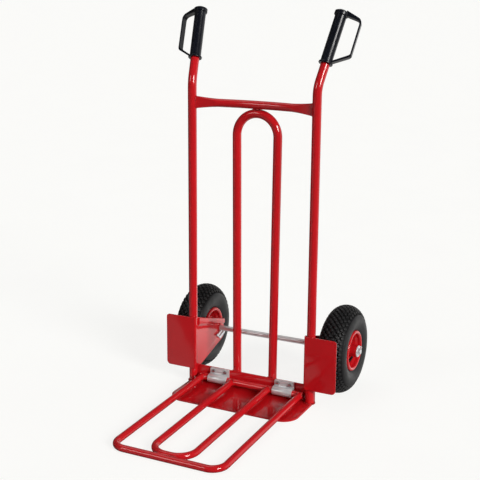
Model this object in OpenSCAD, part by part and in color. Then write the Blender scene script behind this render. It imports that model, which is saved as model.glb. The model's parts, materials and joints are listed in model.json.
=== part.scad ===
// Hand truck with a fixed toe plate and a folding tubular toe.
// Millimetres. +Z is up, the toe points to -Y and the wheels are behind, at +Y.
// +X is to the right as seen from in front of the toe, and names ending in _right are on that side.
// The origin is on the floor under the toe plate, midway between the two side tubes.

/* [Frame] */
// Distance between the centrelines of the side tubes
tube_span = 378; // [360:1:400]
// Outside diameter of the side tubes and of the inner loop
tube_d = 25; // [24:0.5:26]
// Wall thickness of every tube
tube_wall = 2; // [1.5:0.1:2.5]
// Height at which the side tubes turn back into the handles
bend_h = 899.5; // [860:0.5:940]
// Angle between a handle and the vertical
handle_rake = 27.8; // [20:0.1:32]
// Plan angle by which the handles splay away from straight back
handle_splay = 14.3; // [8:0.1:18]
// Centreline radius of the handle bends
bend_r = 85; // [60:5:110]

/* [Cross members] */
// Height of the crossbar's centreline
crossbar_h = 841.5; // [820:0.5:860]
// Outside diameter of the crossbar
crossbar_d = 23; // [21:0.5:25]
// How far the middle of the crossbar is bowed back
crossbar_bow = 23; // [15:1:30]
// How far the inner loop's top lies below the crossbar, centreline to centreline
loop_drop = 25; // [25:0.5:60]
// Distance between the inner loop's legs at their feet
loop_foot_span = 114; // [100:1:124]
// Lean of each inner loop leg away from the middle
loop_lean = 0.45; // [0:0.05:0.8]

/* [Toe plate] */
// Width of the toe plate
toe_w = 396; // [380:1:402]
// Distance from the side tubes' plane to the front edge of the toe plate
toe_reach = 150; // [120:5:200]
// Thickness of the toe plate
toe_t = 5; // [4:0.5:6]
// Radius of the toe plate's front corners
toe_corner_r = 48; // [20:1:60]
// Height of the flange along the back of the toe plate
flange_h = 51; // [50:0.5:56]

/* [Folding toe] */
// Outside diameter of the folding toe's loops
fold_tube_d = 19; // [18:0.5:19]
// Diameter of the rod that the folding toe turns on
rod_d = 20; // [19.5:0.5:21]
// Height of that rod's centre
rod_h = 22; // [21:0.5:24]
// Distance from the rod to the front bar's centreline
fold_len = 499; // [420:1:520]
// Height of the front bar's centreline with the toe folded down
tip_h = 10; // [9.5:0.5:14]
// Distance between the outer loop's legs
fold_span = 316.5; // [300:0.5:320]
// Distance between the inner folding loop's legs
fold_inner_span = 117; // [110:1:124]

/* [Axle brackets] */
// Height of the top of a bracket's front plate
bracket_top = 207; // [195:1:220]
// Height of the bottom of a bracket's front plate
bracket_bottom = 48; // [44:1:60]
// Distance from a side tube's centreline to its bracket's outer edge
bracket_reach = 82; // [70:1:84]
// Thickness of the bracket plate
bracket_t = 3; // [2.5:0.5:3]

/* [Wheels] */
// Diameter of a wheel over its tyre
wheel_d = 260; // [250:1:262]
// Width of a tyre
tyre_w = 86; // [80:1:86]
// Distance between the middles of the two wheels
wheel_track = 464; // [460:1:470]
// Distance from the side tubes' plane back to the axle
axle_back = 139.5; // [138:0.5:145]
// Diameter of the axle
axle_d = 16; // [15:0.5:16]

/* [Grips] */
// Distance along a handle from its bend to the foot of the grip
grip_start = 68.5; // [66:0.5:75]
// Length of a grip
grip_len = 158; // [152:1:162]
// Outside diameter of a grip's sleeve
grip_d = 32; // [30:0.5:34]
// Distance from a grip's axis to the outside of its knuckle guard
guard_reach = 62; // [58:1:66]

/* [Hidden] */

paint = "firebrick";
zinc = "silver";
black = "#1a1b1e";
$fn = 48;

// Radial clearance of a turning fit, and the gap left between parts that only rest together
fit = 0.05;
rest_gap = 0.05;
// Overlap that joins the pieces of one solid, and the reach of a cutter past a face
join = 0.2;
cut = 1;
lap = 0.3;
hair = 0.01;

tube_r = tube_d / 2;
span_half = tube_span / 2;
wheel_r = wheel_d / 2;
axle_r = axle_d / 2;
wheel_x = wheel_track / 2;

// Toe plate: the flange stands just behind the side tubes, the inner loop just behind the flange
flange_front = tube_r + 0.5;
flange_back = flange_front + toe_t;
toe_bend_r = 8;
loop_y = flange_back + tube_r + rest_gap;
loop_top_h = crossbar_h - loop_drop;

// Folding toe
rod_r = rod_d / 2;
fold_r = fold_tube_d / 2;
strap_t = 3;
clamp_r = rod_r + fit + strap_t;
rod_y = flange_front - clamp_r;
fold_slope = asin((rod_h - tip_h) / fold_len);
fold_corner_r = 38;
fold_inner_corner_r = 50;
clamp_x = 105;
clamp_w = 61;
clamp_bolt_pitch = 38;
clamp_bolt_h = 43;
m6_r = 3;
m6_hole_r = 3.25;
m6_flat_r = 5.77;
head_h = 4;
nut_h = 5;
thread_gap = 0.02;

// Axle bracket, drawn for the +X side
bracket_x = span_half - tube_r - 0.3;
bracket_y = -tube_r - 0.3;
bracket_fold_r = 5;
bracket_outer_x = span_half + bracket_reach;

// Wheel, in its own frame with its axis along Z and +Z pointing outward
hub_len = 94;
hub_r = 17.5;
bearing_r = 14;
bearing_w = 11;
rim_r = 64;
rim_bolt_circle_r = 33;
rim_bolt_count = 4;
web_t = 2.5;

// Grip: height of its domed head
dome_h = 9;

// Axle furniture
washer_r = 17;
washer_t = 2.5;
side_gap = 0.3;
hub_in_x = wheel_x - hub_len / 2;
hub_out_x = wheel_x + hub_len / 2;
washer_x = hub_out_x + side_gap;
pin_x = washer_x + washer_t + 2.3;
pin_turn = -50;
axle_half = pin_x + 4.5;

// ---------- helpers ----------

// A length of tube along +Z that runs past its ends by the laps given
module tube_length(length, r, wall, lap_start, lap_end) {
    translate([0, 0, -lap_start]) difference() {
        cylinder(h = length + lap_start + lap_end, r = r);
        translate([0, 0, -cut]) cylinder(h = length + lap_start + lap_end + 2 * cut, r = r - wall);
    }
}

// A bent tube: each step is [straight length, bend radius, bend angle], and a step with no bend ends it.
// The tube starts at the origin along +Z and bends towards +X. A bend's wall is a hair thinner
// than a straight's, so that the straights lap over it cleanly.
module bent_tube(steps, r, wall, i = 0) {
    length = steps[i][0];
    radius = steps[i][1];
    angle = steps[i][2];
    last = i == len(steps) - 1;
    tube_length(length, r, wall, i == 0 ? 0 : lap, last ? 0 : lap);
    if (!last)
        translate([0, 0, length]) {
            translate([radius, 0, 0]) rotate([90, 0, 180])
                rotate_extrude(angle = angle, $fn = 120) translate([radius, 0]) difference() {
                    circle(r = r - hair);
                    circle(r = r - wall + hair);
                }
            translate([radius * (1 - cos(angle)), 0, radius * sin(angle)]) rotate([0, angle, 0])
                bent_tube(steps, r, wall, i + 1);
        }
}

// Points of an outline whose corners are rounded: each corner is [x, y, radius]
function corner_arc(a, b, c, n = 6) =
    let (
        p = [b[0], b[1]],
        u = unit([a[0], a[1]] - p),
        v = unit([c[0], c[1]] - p),
        half = acos(max(-1, min(1, u * v))) / 2,
        back = b[2] / tan(half),
        centre = p + unit(u + v) * b[2] / sin(half),
        from = p + u * back - centre,
        sweep = sign(cross(u, v)) * -(180 - 2 * half)
    )
    b[2] <= 0 ? [p] : [
        for (k = [0 : n])
            let (t = sweep * k / n)
            centre + [from[0] * cos(t) - from[1] * sin(t), from[0] * sin(t) + from[1] * cos(t)]
    ];
function unit(v) = v / norm(v);
function rounded(corners) = [
    for (i = [0 : len(corners) - 1])
        each corner_arc(
            corners[(i + len(corners) - 1) % len(corners)], corners[i], corners[(i + 1) % len(corners)]
        )
];

// Extrudes a [y, z] outline along +X
module along_x(length) {
    rotate([90, 0, 90]) linear_extrude(height = length) children();
}

// Copies a part drawn for the +X side to the -X side
module other_side() {
    mirror([1, 0, 0]) children();
}

module both_sides() {
    children();
    other_side() children();
}

// Moves a part drawn along +Z from the bend point of the +X handle, guard towards +X
module on_handle() {
    translate([span_half, 0, bend_h]) rotate([0, 0, 90 - handle_splay]) rotate([0, handle_rake, 0])
        children();
}

// Moves a part drawn in the folding toe's own plane, with the toe pointing to -Y
module on_fold() {
    translate([0, rod_y, rod_h]) rotate([fold_slope, 0, 0]) children();
}

// Moves a part drawn on a wheel's own axis to the +X wheel
module on_wheel() {
    translate([wheel_x, axle_back, wheel_r]) rotate([0, 90, 0]) children();
}

// Moves a part drawn along +Z from the axle's middle
module on_axle(x) {
    translate([x, axle_back, wheel_r]) rotate([0, 90, 0]) children();
}

module ring(r_out, r_in, h) {
    difference() {
        cylinder(h = h, r = r_out);
        translate([0, 0, -cut]) cylinder(h = h + 2 * cut, r = r_in);
    }
}

// A hexagon bolt along +Z with the underside of its head at the origin
module hex_bolt(length) {
    translate([0, 0, -head_h]) cylinder(h = head_h, r = m6_flat_r, $fn = 6);
    translate([0, 0, -join]) cylinder(h = length + join, r = m6_r);
}

module hex_nut() {
    difference() {
        cylinder(h = nut_h, r = m6_flat_r, $fn = 6);
        translate([0, 0, -cut]) cylinder(h = nut_h + 2 * cut, r = m6_r + thread_gap);
    }
}

// ---------- frame ----------

handle_tangent = bend_r * tan(handle_rake / 2);
handle_end = grip_start + grip_len - dome_h;

module side_tube() {
    steps = [
        [bend_h - toe_t - rest_gap - handle_tangent, bend_r, handle_rake],
        [handle_end - handle_tangent]
    ];
    color(paint) translate([span_half, 0, toe_t + rest_gap]) rotate([0, 0, 90 - handle_splay])
        bent_tube(steps, tube_r, tube_wall);
}

module side_tube_right() side_tube();
module side_tube_left() other_side() side_tube();

// The crossbar is an arc seen from above, with flattened ears on the side tubes
bar_chord = span_half - tube_r;
bar_r = (bar_chord * bar_chord + crossbar_bow * crossbar_bow) / (2 * crossbar_bow);
bar_angle = asin(bar_chord / bar_r);
ear_angle = 13 / bar_r * 180 / PI;
flare_angle = 30 / bar_r * 180 / PI;
ear_h = 34;
ear_t = 9;

// Moves a part to an angle along the crossbar, +X running along the bar
module on_bar(angle) {
    translate([0, crossbar_bow - bar_r, crossbar_h]) rotate([0, 0, -angle]) translate([0, bar_r, 0])
        children();
}

module bar_arc(half_angle, d) {
    translate([0, crossbar_bow - bar_r, crossbar_h]) rotate([0, 0, 90 - half_angle])
        rotate_extrude(angle = 2 * half_angle, $fn = 720) translate([bar_r, 0]) circle(d = d);
}

// A slice of the bar squeezed front to back and spread up and down
module bar_slice(squeeze, spread) {
    scale([1, squeeze, spread]) rotate([0, 90, 0])
        cylinder(h = join, d = crossbar_d + join, center = true, $fn = 32);
}

module bar_ear(length, t, h) {
    cube([length, t, h - t], center = true);
    for (s = [-1, 1])
        translate([-length / 2, 0, s * (h - t) / 2]) rotate([0, 90, 0]) cylinder(h = length, d = t, $fn = 32);
}

module crossbar() {
    round_end = bar_angle - ear_angle - flare_angle;
    color(paint) difference() {
        union() {
            bar_arc(round_end + ear_angle / 4, crossbar_d);
            both_sides() {
                hull() {
                    on_bar(round_end) bar_slice(1, 1);
                    on_bar(round_end + flare_angle / 2) bar_slice(0.72, 1.1);
                    on_bar(bar_angle - 0.9 * ear_angle) bar_ear(join, ear_t - join, ear_h - join);
                }
                on_bar(bar_angle - ear_angle / 2) bar_ear(ear_angle * bar_r * PI / 180 + 4, ear_t, ear_h);
            }
        }
        both_sides() translate([span_half, 0, crossbar_h - ear_h])
            cylinder(h = 2 * ear_h, r = tube_r + rest_gap, $fn = 96);
    }
}

// The inner loop: two legs that lean apart going up, joined by one round bend
loop_foot = 7;
loop_leg = (loop_top_h - loop_foot) * cos(loop_lean) / (1 + sin(loop_lean)) - loop_foot_span / 2;
loop_r = (loop_foot_span / 2 + loop_leg * sin(loop_lean)) / cos(loop_lean);

module inner_loop() {
    steps = [[loop_leg, loop_r, 180 + 2 * loop_lean], [loop_leg]];
    color(paint) translate([-loop_foot_span / 2, loop_y, loop_foot]) rotate([0, -loop_lean, 0])
        bent_tube(steps, tube_r, tube_wall);
}

// The saddle fills the gap between the crossbar's underside and the loop's top
saddle_size = [28, 13, 13];
saddle_y = (crossbar_bow + loop_y) / 2 - 0.8;

module loop_saddle() {
    color(paint) difference() {
        translate([0, saddle_y, crossbar_h - crossbar_d / 2 - 2]) cube(saddle_size, center = true);
        bar_arc(4, crossbar_d + 2 * rest_gap);
        translate([0, loop_y, loop_top_h - loop_r]) rotate([90, 0, 0])
            rotate_extrude($fn = 360) translate([loop_r, 0]) circle(r = tube_r + rest_gap, $fn = 96);
    }
}

// ---------- toe plate ----------

module toe_outline() {
    half = toe_w / 2;
    back = flange_back + cut;
    translate([-half, -toe_reach + toe_corner_r]) square([toe_w, toe_reach - toe_corner_r + back]);
    translate([-half + toe_corner_r, -toe_reach]) square([toe_w - 2 * toe_corner_r, toe_corner_r + cut]);
    for (s = [-1, 1])
        translate([s * (half - toe_corner_r), -toe_reach + toe_corner_r])
            circle(r = toe_corner_r, $fn = 96);
}

// Section of the toe plate: the plate, the bend and the flange, as a [y, z] outline
module toe_section() {
    translate([-toe_reach - cut, 0]) square([toe_reach + cut + flange_back - toe_bend_r, toe_t]);
    translate([flange_front, toe_bend_r]) square([toe_t, flange_h - toe_bend_r]);
    translate([flange_back - toe_bend_r, toe_bend_r]) intersection() {
        difference() {
            circle(r = toe_bend_r);
            circle(r = toe_bend_r - toe_t);
        }
        translate([0, -toe_bend_r]) square([toe_bend_r, toe_bend_r]);
    }
}

module clamp_hole_grid() {
    for (s = [-1, 1], k = [-1, 1])
        translate([s * clamp_x + k * clamp_bolt_pitch / 2, 0, clamp_bolt_h]) rotate([-90, 0, 0]) children();
}

module toe_plate() {
    color(paint) difference() {
        intersection() {
            translate([-toe_w / 2, 0, 0]) along_x(toe_w) toe_section();
            translate([0, 0, -cut]) linear_extrude(height = flange_h + 2 * cut) toe_outline();
        }
        translate([0, flange_front - cut, 0]) clamp_hole_grid() cylinder(h = toe_t + 2 * cut, r = m6_hole_r);
    }
}

// ---------- axle brackets ----------

// Side plate as a [y, z] outline: it carries the axle behind the side tube
side_rear = axle_back + 26.5;
side_high = wheel_r + 18;
side_low = wheel_r - 36;
side_foot = flange_h + 1.5;
bracket_side = [
    [bracket_y + join, bracket_bottom, 0], [bracket_y + join, bracket_top, 0], [0, bracket_top - 4, 0],
    [side_rear, side_high, 9], [side_rear, side_low, 9], [flange_back + 4, side_foot, 4],
    [flange_front - 3, side_foot, 0]
];
// Front plate as an [x, z] outline, from the fold outward
front_x = bracket_x - bracket_t + bracket_fold_r - join;
bracket_front = [
    [front_x, bracket_bottom, 0], [front_x, bracket_top, 0],
    [bracket_outer_x, bracket_top, 9], [bracket_outer_x, bracket_bottom, 12]
];
// Raised band along the top of the side plate, and the short one below the axle
band_w = 21;
band_t = 2;
band_top = [
    [2, bracket_top - 5, 0], [side_rear - 8, side_high + 2.5, 6],
    [side_rear - 8, side_high + 2.5 - band_w, 6], [2, bracket_top - 5 - band_w, 0]
];
band_low = [
    [side_rear - 2, side_low + 4, 2], [side_rear - 2, side_low + 18, 4],
    [side_rear - 54, side_low, 4], [side_rear - 54, side_low - 14, 2]
];
boss_len = 9;

module axle_bracket() {
    corner_x = bracket_x - bracket_t + bracket_fold_r;
    corner_y = bracket_y - bracket_t + bracket_fold_r;
    color(paint) difference() {
        union() {
            translate([bracket_x - bracket_t, 0, 0]) along_x(bracket_t) polygon(rounded(bracket_side));
            translate([0, bracket_y, 0]) rotate([90, 0, 0]) linear_extrude(height = bracket_t)
                polygon(rounded(bracket_front));
            translate([corner_x, corner_y, bracket_bottom]) rotate([0, 0, 180])
                rotate_extrude(angle = 90) translate([bracket_fold_r - bracket_t, 0])
                    square([bracket_t, bracket_top - bracket_bottom]);
            for (band = [band_top, band_low])
                translate([bracket_x - bracket_t - band_t, 0, 0]) along_x(band_t + join)
                    polygon(rounded(band));
            on_axle(bracket_x - bracket_t - boss_len) cylinder(h = boss_len + join, r = axle_r + 5);
        }
        on_axle(bracket_x - bracket_t - boss_len - cut)
            cylinder(h = boss_len + bracket_t + 2 * cut, r = axle_r + fit);
    }
}

module axle_bracket_right() axle_bracket();
module axle_bracket_left() other_side() axle_bracket();

// ---------- axle ----------

module axle() {
    color(zinc) difference() {
        on_axle(-axle_half) {
            cylinder(h = 1, r1 = axle_r - 1, r2 = axle_r, $fn = 96);
            translate([0, 0, 1]) cylinder(h = 2 * axle_half - 2, r = axle_r);
            translate([0, 0, 2 * axle_half - 1]) cylinder(h = 1, r1 = axle_r, r2 = axle_r - 1, $fn = 96);
        }
        both_sides() on_axle(pin_x) rotate([0, 90, pin_turn]) cylinder(h = 4 * axle_r, r = 2.1, center = true);
    }
}

module axle_spacers() {
    start = bracket_x + rest_gap;
    color(zinc) both_sides() on_axle(start) ring(axle_r + 4, axle_r + fit, hub_in_x - side_gap - start);
}

module axle_washers() {
    color(zinc) both_sides() on_axle(washer_x) ring(washer_r, axle_r + fit, washer_t);
}

// Split pins: a shank through the axle, a round eye at one end and two bent tails at the other
module split_pins() {
    color(zinc) both_sides() on_axle(pin_x) rotate([0, 90, pin_turn]) {
        translate([0, 0, -axle_r - 3]) cylinder(h = 2 * axle_r + 9, r = 1.9);
        translate([0, 0, -axle_r - 6]) rotate([0, 90, 0])
            rotate_extrude() translate([3.4, 0]) circle(r = 1.2);
        translate([0, 0, axle_r + 5.2]) rotate([90, 0, 0]) cylinder(h = 11, r = 1.2, center = true);
    }
}

// ---------- hinge clamps ----------

// A strap folded round the rod, its two leaves lying together against the flange
module hinge_clamp() {
    color(zinc) difference() {
        translate([clamp_x - clamp_w / 2, 0, 0]) along_x(clamp_w) difference() {
            union() {
                translate([rod_y, rod_h]) circle(r = clamp_r);
                translate([flange_front - 2 * strap_t, rod_h])
                    square([2 * strap_t - rest_gap, flange_h - rod_h + 1]);
                translate([flange_front - 2 * strap_t - 3, rod_h]) square([3 + join, clamp_r - 2]);
            }
            translate([rod_y, rod_h]) circle(r = rod_r + fit);
        }
        translate([0, flange_front - 2 * strap_t - cut, 0]) clamp_hole_grid()
            cylinder(h = 2 * strap_t + 2 * cut, r = m6_hole_r);
    }
}

module hinge_clamp_right() hinge_clamp();
module hinge_clamp_left() other_side() hinge_clamp();

clamp_stack = 2 * strap_t + toe_t;

module clamp_bolts() {
    color(zinc) translate([0, flange_front - 2 * strap_t - rest_gap, 0]) clamp_hole_grid()
        hex_bolt(clamp_stack + nut_h + 3);
}

module clamp_nuts() {
    color(zinc) translate([0, flange_back + rest_gap, 0]) clamp_hole_grid() hex_nut();
}

// ---------- folding toe ----------

module toe_rod() {
    half = fold_span / 2 + fold_r;
    color(paint) translate([-half, rod_y, rod_h]) along_x(2 * half) difference() {
        circle(r = rod_r);
        circle(r = rod_r - tube_wall);
    }
}

// A loop that runs out from the rod, across, and back to it
module fold_loop(half, reach, corner_r) {
    leg = reach - corner_r;
    steps = [[leg, corner_r, 90], [2 * (half - corner_r), corner_r, 90], [leg]];
    color(paint) difference() {
        on_fold() translate([-half, 0, 0]) rotate([90, 0, 0]) bent_tube(steps, fold_r, tube_wall);
        translate([-half - 2 * fold_r, rod_y, rod_h]) along_x(2 * half + 4 * fold_r)
            circle(r = rod_r + rest_gap);
    }
}

module toe_outer_loop() fold_loop(fold_span / 2, fold_len, fold_corner_r);
module toe_inner_loop()
    fold_loop(fold_inner_span / 2, fold_len - fold_tube_d - rest_gap, fold_inner_corner_r);

// ---------- grips ----------

// Knuckle guard as an [across, along] outline, outer edge then inner edge
guard_t = 4.5;
guard_depth = 15;
guard_turn = 64;
guard_foot = 3;
guard_low = 34;
guard_high = 138;
guard_top = guard_reach - 3;
guard_head = grip_len - 4;
guard_outer = [
    [0, guard_foot - 3, 0], [guard_reach, guard_low - 2, 13], [guard_top, guard_high + 2, 16],
    [0, guard_head, 0]
];
guard_inner = [
    [0, guard_foot + 3, 0], [guard_reach - guard_t, guard_low + 2, 8],
    [guard_top - guard_t, guard_high - 3, 10], [0, guard_head - 11, 0]
];
sleeve_r = grip_d / 2;
collar_r = sleeve_r + 3.5;
foot_collar_h = 5.5;
head_collar_h = 9;
dome_r = 27;

module grip() {
    sleeve_h = grip_len - dome_h;
    color(black) on_handle() translate([0, 0, grip_start]) difference() {
        union() {
            cylinder(h = sleeve_h, r = sleeve_r);
            cylinder(h = foot_collar_h, r = collar_r);
            translate([0, 0, sleeve_h - head_collar_h]) cylinder(h = head_collar_h, r = collar_r);
            translate([0, 0, sleeve_h - join]) intersection() {
                cylinder(h = dome_h, r = collar_r);
                translate([0, 0, dome_h - dome_r]) sphere(r = dome_r, $fn = 96);
            }
            rotate([0, 0, -guard_turn]) rotate([90, 0, 0])
                linear_extrude(height = guard_depth, center = true) difference() {
                    polygon(rounded(guard_outer));
                    polygon(rounded(guard_inner));
                }
        }
        translate([0, 0, -cut]) cylinder(h = sleeve_h + cut, r = tube_r + rest_gap);
    }
}

module grip_right() grip();
module grip_left() other_side() grip();

// ---------- wheels ----------

tyre_r = tyre_w / 2;
tyre_ring_r = wheel_r - tyre_r;
tyre_wall = 6;
tube_room = 0.5;
tube_skin = 1.5;
// The rim's bead seat: its radius and its distance from the wheel's middle
bead_in = 52;
bead_z = 24;
// The tyre is open between its beads, out to this radius
mouth_r = 58;
mouth_z = bead_z - 2;

// Every wheel section is a [radius, distance outward] outline turned about the axle
module tyre_section() {
    difference() {
        translate([tyre_ring_r, 0]) circle(r = tyre_r, $fn = 96);
        translate([tyre_ring_r, 0]) circle(r = tyre_r - tyre_wall, $fn = 96);
        rim_room();
    }
}

// Space left open between the tyre's beads, and taken up by the rim inside and beside them
module rim_room() {
    seat = bead_in + 0.3;
    lip = rim_r + 0.4;
    side = [[seat, bead_z - 0.1], [lip_in + 0.2, lip_z - 0.2], [lip, lip_z + 1.8], [lip, tyre_r + cut]];
    translate([0, -mouth_z]) square([mouth_r, 2 * mouth_z]);
    for (s = [0, 1])
        mirror([0, s]) polygon(concat([[0, -cut], [seat, -cut]], side, [[0, tyre_r + cut]]));
}

module tyre() {
    color(black) on_wheel() rotate_extrude($fn = 180) tyre_section();
}

module inner_tube() {
    r = tyre_r - tyre_wall - tube_room;
    color(black) on_wheel() rotate_extrude($fn = 180) translate([tyre_ring_r, 0]) difference() {
        circle(r = r);
        circle(r = r - tube_skin);
    }
}

// One pressed half of a rim: web, dish, bead seat, lip and back down to the collar round the hub
web_r = 44;
dish_r = 50;
dish_z = 8;
lip_in = 60;
lip_z = 31;
lip_t = 3;
collar_h = 8;
web_gap = 0.1;
web_face = web_gap + web_t;
rim_half_section = [
    [hub_r + web_gap, web_gap, 0], [web_r, web_gap, 4], [dish_r, dish_z, 5], [bead_in, bead_z, 4],
    [lip_in, lip_z, 4], [rim_r, lip_z + 2, 1.2], [rim_r, lip_z + 5, 1.2], [lip_in + 0.5, lip_z + 4.5, 2],
    [lip_in - 4, lip_z + 1.5, 3], [bead_in - lip_t, bead_z + lip_t, 4], [dish_r - 3.5, dish_z + 1.5, 4],
    [web_r - 2, web_face, 3], [hub_r + 6, web_face, 2], [hub_r + 3, collar_h, 1],
    [hub_r + web_gap, collar_h, 0]
];
rim_hole_r = 7;

module rim_half() {
    drill = web_face + 2 * cut;
    step = 360 / rim_bolt_count;
    difference() {
        rotate_extrude($fn = 120) polygon(rounded(rim_half_section));
        for (k = [0 : rim_bolt_count - 1]) {
            rotate([0, 0, k * step]) translate([rim_bolt_circle_r, 0, -cut])
                cylinder(h = drill, r = m6_hole_r);
            rotate([0, 0, (k + 0.5) * step]) translate([rim_bolt_circle_r, 0, -cut])
                cylinder(h = drill, r = rim_hole_r);
        }
    }
}

module rim_outer() {
    color(paint) on_wheel() difference() {
        rim_half();
        valve_bore();
    }
}

module rim_inner() {
    color(paint) on_wheel() mirror([0, 0, 1]) rim_half();
}

module hub() {
    step = bearing_r - 2;
    color(zinc) on_wheel() translate([0, 0, -hub_len / 2]) difference() {
        cylinder(h = hub_len, r = hub_r);
        translate([0, 0, -cut]) cylinder(h = hub_len + 2 * cut, r = step);
        for (z = [-cut, hub_len - bearing_w - 0.5])
            translate([0, 0, z]) cylinder(h = bearing_w + cut + 0.5, r = bearing_r + rest_gap);
    }
}

module bearings() {
    color(zinc) on_wheel() for (s = [-1, 1])
        translate([0, 0, s * (hub_len / 2 - 0.3 - bearing_w / 2) - bearing_w / 2]) difference() {
            ring(bearing_r, axle_r + fit, bearing_w);
            for (z = [-cut, bearing_w - 0.6])
                translate([0, 0, z]) ring(bearing_r - 1.6, axle_r + 2, 0.6 + cut);
        }
}

module rim_bolt_circle() {
    for (k = [0 : rim_bolt_count - 1])
        rotate([0, 0, k * 360 / rim_bolt_count]) translate([rim_bolt_circle_r, 0, 0]) children();
}

module rim_bolts() {
    grip_length = 2 * (web_face + rest_gap);
    color(zinc) on_wheel() rim_bolt_circle() translate([0, 0, grip_length / 2]) rotate([180, 0, 0])
        hex_bolt(grip_length + nut_h + 3);
}

module rim_nuts() {
    color(zinc) on_wheel() rim_bolt_circle() translate([0, 0, -web_face - rest_gap - nut_h]) hex_nut();
}

// The valve stands out of the outer half's barrel, tilted towards the outside
valve_angle = 22;
module on_valve() {
    rotate([0, 0, valve_angle]) translate([47, 0, 15]) rotate([0, -60, 0]) children();
}

module valve_bore() {
    on_valve() cylinder(h = 24, r = 4.1, center = true);
}

module valve() {
    color(black) on_wheel() on_valve() {
        translate([0, 0, -7]) cylinder(h = 19, r = 4);
        translate([0, 0, 12 - join]) cylinder(h = 9, r = 2.8);
        translate([0, 0, 15]) cylinder(h = 8, r = 3.8);
    }
}

module tyre_right() tyre();
module tyre_left() other_side() tyre();
module inner_tube_right() inner_tube();
module inner_tube_left() other_side() inner_tube();
module rim_outer_right() rim_outer();
module rim_outer_left() other_side() rim_outer();
module rim_inner_right() rim_inner();
module rim_inner_left() other_side() rim_inner();
module hub_right() hub();
module hub_left() other_side() hub();
module bearings_right() bearings();
module bearings_left() other_side() bearings();
module rim_bolts_right() rim_bolts();
module rim_bolts_left() other_side() rim_bolts();
module rim_nuts_right() rim_nuts();
module rim_nuts_left() other_side() rim_nuts();
module valve_right() valve();
module valve_left() other_side() valve();

side_tube_left();
side_tube_right();
crossbar();
inner_loop();
loop_saddle();
toe_plate();
axle_bracket_left();
axle_bracket_right();
axle();
axle_spacers();
axle_washers();
split_pins();
hinge_clamp_left();
hinge_clamp_right();
clamp_bolts();
clamp_nuts();
grip_left();
grip_right();
toe_rod();
toe_outer_loop();
toe_inner_loop();
tyre_left();
tyre_right();
inner_tube_left();
inner_tube_right();
rim_outer_left();
rim_outer_right();
rim_inner_left();
rim_inner_right();
hub_left();
hub_right();
bearings_left();
bearings_right();
rim_bolts_left();
rim_bolts_right();
rim_nuts_left();
rim_nuts_right();
valve_left();
valve_right();
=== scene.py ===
import json
from math import acos, asin, atan2, cos, degrees, exp, pi, radians, sin, sqrt, tan

import bmesh
import bpy
from mathutils import Matrix, Vector


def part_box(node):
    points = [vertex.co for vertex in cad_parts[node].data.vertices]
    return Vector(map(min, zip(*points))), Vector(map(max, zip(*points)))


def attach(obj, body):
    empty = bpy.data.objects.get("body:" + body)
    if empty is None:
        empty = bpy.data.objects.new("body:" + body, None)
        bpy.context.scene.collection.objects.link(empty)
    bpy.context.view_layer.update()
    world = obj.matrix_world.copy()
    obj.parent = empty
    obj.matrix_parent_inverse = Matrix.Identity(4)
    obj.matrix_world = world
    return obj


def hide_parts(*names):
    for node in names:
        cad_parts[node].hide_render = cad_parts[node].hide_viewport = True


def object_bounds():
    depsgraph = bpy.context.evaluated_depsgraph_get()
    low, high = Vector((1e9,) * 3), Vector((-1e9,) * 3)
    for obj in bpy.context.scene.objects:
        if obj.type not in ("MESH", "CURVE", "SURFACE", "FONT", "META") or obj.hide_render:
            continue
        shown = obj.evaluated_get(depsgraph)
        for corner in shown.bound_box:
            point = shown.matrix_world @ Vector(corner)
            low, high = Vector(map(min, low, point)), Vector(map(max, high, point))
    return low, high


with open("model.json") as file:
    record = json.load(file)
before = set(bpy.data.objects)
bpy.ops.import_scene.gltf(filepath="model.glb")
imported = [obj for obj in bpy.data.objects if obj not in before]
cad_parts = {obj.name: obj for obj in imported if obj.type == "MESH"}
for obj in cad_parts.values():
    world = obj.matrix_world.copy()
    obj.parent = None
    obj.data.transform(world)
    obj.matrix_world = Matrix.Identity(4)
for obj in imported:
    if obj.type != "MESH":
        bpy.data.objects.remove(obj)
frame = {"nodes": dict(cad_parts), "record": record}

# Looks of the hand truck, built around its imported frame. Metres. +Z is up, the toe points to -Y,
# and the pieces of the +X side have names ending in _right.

cad_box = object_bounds()
MM = 0.001
SIDES = {"right": 1, "left": -1}
X = Vector((1, 0, 0))
Y = Vector((0, 1, 0))
Z = Vector((0, 0, 1))


# ---------- materials ----------

def new_material(name):
    """An empty node material: returns the material, its nodes, a link function and the shader."""
    material = bpy.data.materials.new(name)
    material.use_nodes = True
    nodes = material.node_tree.nodes
    shader = nodes["Principled BSDF"]
    return material, nodes, material.node_tree.links.new, shader


def noise_node(nodes, link, scale, detail=4.0, stretch=None, kind="ShaderNodeTexNoise"):
    """A noise texture in object space, its features about 1/scale metres across."""
    place = nodes.new("ShaderNodeTexCoord")
    texture = nodes.new(kind)
    texture.inputs["Scale"].default_value = scale
    if kind == "ShaderNodeTexNoise":
        texture.inputs["Detail"].default_value = detail
    if stretch:
        mapping = nodes.new("ShaderNodeMapping")
        mapping.inputs["Scale"].default_value = stretch
        link(place.outputs["Object"], mapping.inputs["Vector"])
        link(mapping.outputs["Vector"], texture.inputs["Vector"])
    else:
        link(place.outputs["Object"], texture.inputs["Vector"])
    return texture


def ramp(nodes, link, source, stops):
    """Turns a 0..1 value into a colour, through (position, colour) stops."""
    node = nodes.new("ShaderNodeValToRGB")
    elements = node.color_ramp.elements
    while len(elements) < len(stops):
        elements.new(0.5)
    for element, (position, colour) in zip(elements, stops):
        element.position = position
        element.color = (*colour, 1)
    link(source, node.inputs["Fac"])
    return node.outputs["Color"]


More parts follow.
